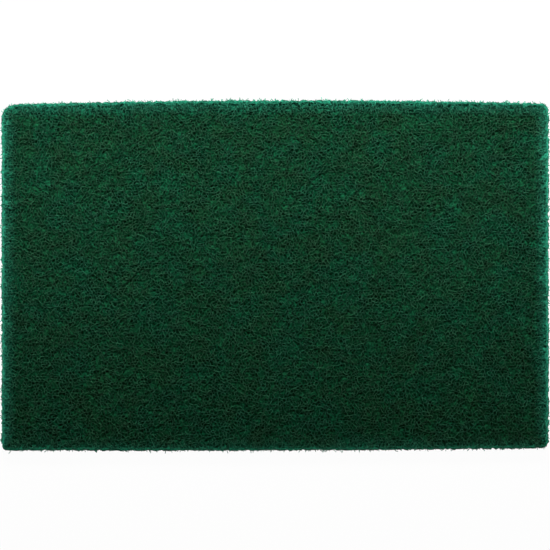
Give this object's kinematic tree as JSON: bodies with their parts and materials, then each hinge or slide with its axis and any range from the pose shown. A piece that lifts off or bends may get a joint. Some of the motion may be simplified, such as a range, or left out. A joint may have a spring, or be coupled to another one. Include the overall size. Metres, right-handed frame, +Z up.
{
  "type": "scouring pad",
  "caption": "Flat rectangular hand scouring pad of lofty non-woven nylon web, pitted on both faces, with ragged cut edges.",
  "frame": {"origin": "middle of the underside, where the pad lies on a surface", "axes": "+X along the pad's length, +Y across it towards the rear long edge, +Z up through its thickness"},
  "size_m": [0.23, 0.147, 0.008],
  "materials": {
    "nylon_web": "matte"
  },
  "bodies": {
    "root": {"scouring_pad": "nylon_web"}
  },
  "joints": []
}
